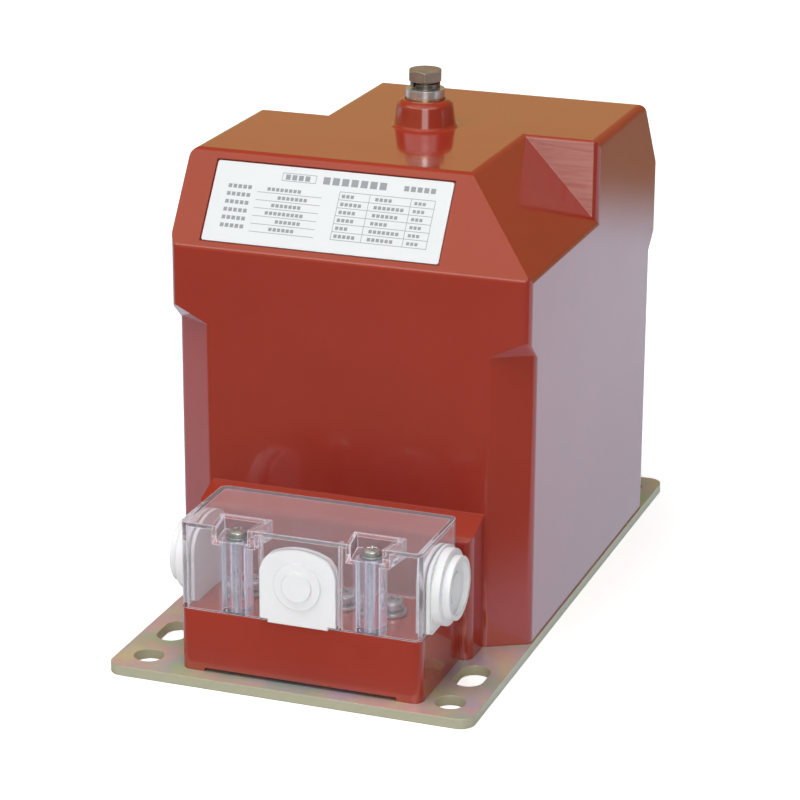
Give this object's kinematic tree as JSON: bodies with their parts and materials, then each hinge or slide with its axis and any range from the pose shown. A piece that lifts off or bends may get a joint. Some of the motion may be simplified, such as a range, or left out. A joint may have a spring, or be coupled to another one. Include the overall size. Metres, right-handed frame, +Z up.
{
  "type": "voltage transformer",
  "caption": "Cast-resin voltage transformer on a drilled steel base plate, with one terminal on top and a clear cover over its low secondary terminals.",
  "frame": {"origin": "middle of the base plate's underside, which is the floor", "axes": "-Y towards the secondary terminals, +X to the right when the terminals are looked at, +Z up along the high-voltage terminal"},
  "size_m": [0.15, 0.274, 0.2132],
  "materials": {
    "zinc_plate": "yellow passivated zinc, satin",
    "resin": "glossy red-brown cast epoxy resin",
    "core_steel": "wound strip steel, cut faces together",
    "band_steel": "bare steel band",
    "former_board": "pressboard",
    "winding_copper": "enamelled copper wire, wound",
    "barrier_paper": "impregnated paper",
    "lead_copper": "insulated copper wire",
    "insert_brass": "machined brass",
    "zinc_hardware": "zinc plated",
    "spring_steel": "dark spring steel",
    "bolt_steel": "bronze-tinted zinc plating",
    "screw_steel": "zinc plated",
    "nameplate_aluminium": "white printed form on aluminium",
    "clear_cover": "clear injection-moulded plastic",
    "grommet_plastic": "white soft plastic"
  },
  "bodies": {
    "root": {"base_plate": "zinc_plate", "resin_body": "resin", "core_front_half": "core_steel", "core_rear_half": "core_steel", "core_band": "band_steel", "coil_former": "former_board", "secondary_winding": "winding_copper", "barrier_tube": "barrier_paper", "primary_winding": "winding_copper", "hv_lead": "lead_copper", "secondary_leads": "lead_copper", "primary_earth_lead": "lead_copper", "earth_lead": "lead_copper", "hv_insert": "insert_brass", "hv_washers": "zinc_hardware", "hv_spring_washer": "spring_steel", "hv_bolt": "bolt_steel", "nameplate": "nameplate_aluminium", "terminal_inserts": "insert_brass", "terminal_washers": "zinc_hardware", "terminal_spring_washers": "spring_steel", "terminal_screws": "screw_steel", "terminal_cover": "clear_cover", "cover_inserts": "insert_brass", "cover_washers": "zinc_hardware", "cover_screws": "screw_steel", "front_grommet": "grommet_plastic", "left_grommet": "grommet_plastic", "right_grommet": "grommet_plastic", "base_inserts": "insert_brass", "base_screws": "screw_steel"}
  },
  "joints": []
}
